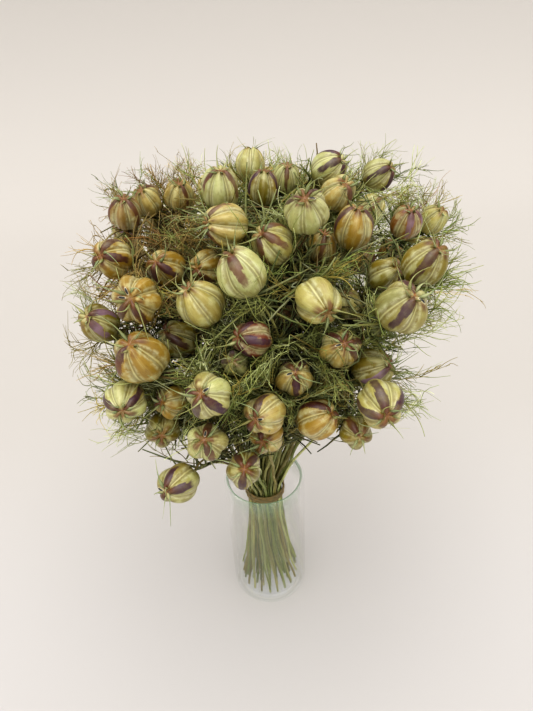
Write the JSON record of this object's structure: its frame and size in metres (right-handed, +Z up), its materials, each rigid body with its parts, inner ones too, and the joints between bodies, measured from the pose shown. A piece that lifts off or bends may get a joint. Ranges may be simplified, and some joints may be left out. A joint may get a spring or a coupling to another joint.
{
  "type": "tied bunch of dried nigella seed pods in a glass vase",
  "caption": "Tied bunch of dried nigella seed pods on thin cut stems, standing in a clear thick-walled glass cylinder vase.",
  "frame": {"origin": "centre of the vase's flat underside", "axes": "+Z up along the vase, -Y towards the side the bunch leans to, +X to the right of it"},
  "size_m": [0.2391, 0.2804, 0.4494],
  "materials": {
    "vase_glass": "clear polished glass, faint green at the rim",
    "band_rubber": "natural tan rubber",
    "dried_pod": "papery dried plant skin, pale green to ochre with purple stripes, low sheen"
  },
  "bodies": {
    "root": {"glass_vase": "vase_glass", "rubber_band": "band_rubber", "sprig_01": "dried_pod", "sprig_02": "dried_pod", "sprig_03": "dried_pod", "sprig_04": "dried_pod", "sprig_05": "dried_pod", "sprig_06": "dried_pod", "sprig_07": "dried_pod", "sprig_08": "dried_pod", "sprig_09": "dried_pod", "sprig_10": "dried_pod", "sprig_11": "dried_pod", "sprig_12": "dried_pod", "sprig_13": "dried_pod", "sprig_14": "dried_pod", "sprig_15": "dried_pod", "sprig_16": "dried_pod", "sprig_17": "dried_pod", "sprig_18": "dried_pod", "sprig_19": "dried_pod", "sprig_20": "dried_pod", "sprig_21": "dried_pod", "sprig_22": "dried_pod", "sprig_23": "dried_pod", "sprig_24": "dried_pod", "sprig_25": "dried_pod", "sprig_26": "dried_pod", "sprig_27": "dried_pod", "sprig_28": "dried_pod", "sprig_29": "dried_pod", "sprig_30": "dried_pod", "sprig_31": "dried_pod", "sprig_32": "dried_pod", "sprig_33": "dried_pod", "sprig_34": "dried_pod", "sprig_35": "dried_pod", "sprig_36": "dried_pod", "sprig_37": "dried_pod", "sprig_38": "dried_pod", "sprig_39": "dried_pod", "sprig_40": "dried_pod", "sprig_41": "dried_pod", "sprig_42": "dried_pod", "sprig_43": "dried_pod", "sprig_44": "dried_pod", "sprig_45": "dried_pod", "sprig_46": "dried_pod", "sprig_47": "dried_pod", "sprig_48": "dried_pod", "sprig_49": "dried_pod", "sprig_50": "dried_pod", "sprig_51": "dried_pod", "sprig_52": "dried_pod", "sprig_53": "dried_pod", "sprig_54": "dried_pod", "sprig_55": "dried_pod", "sprig_56": "dried_pod", "sprig_57": "dried_pod", "sprig_58": "dried_pod"}
  },
  "joints": []
}
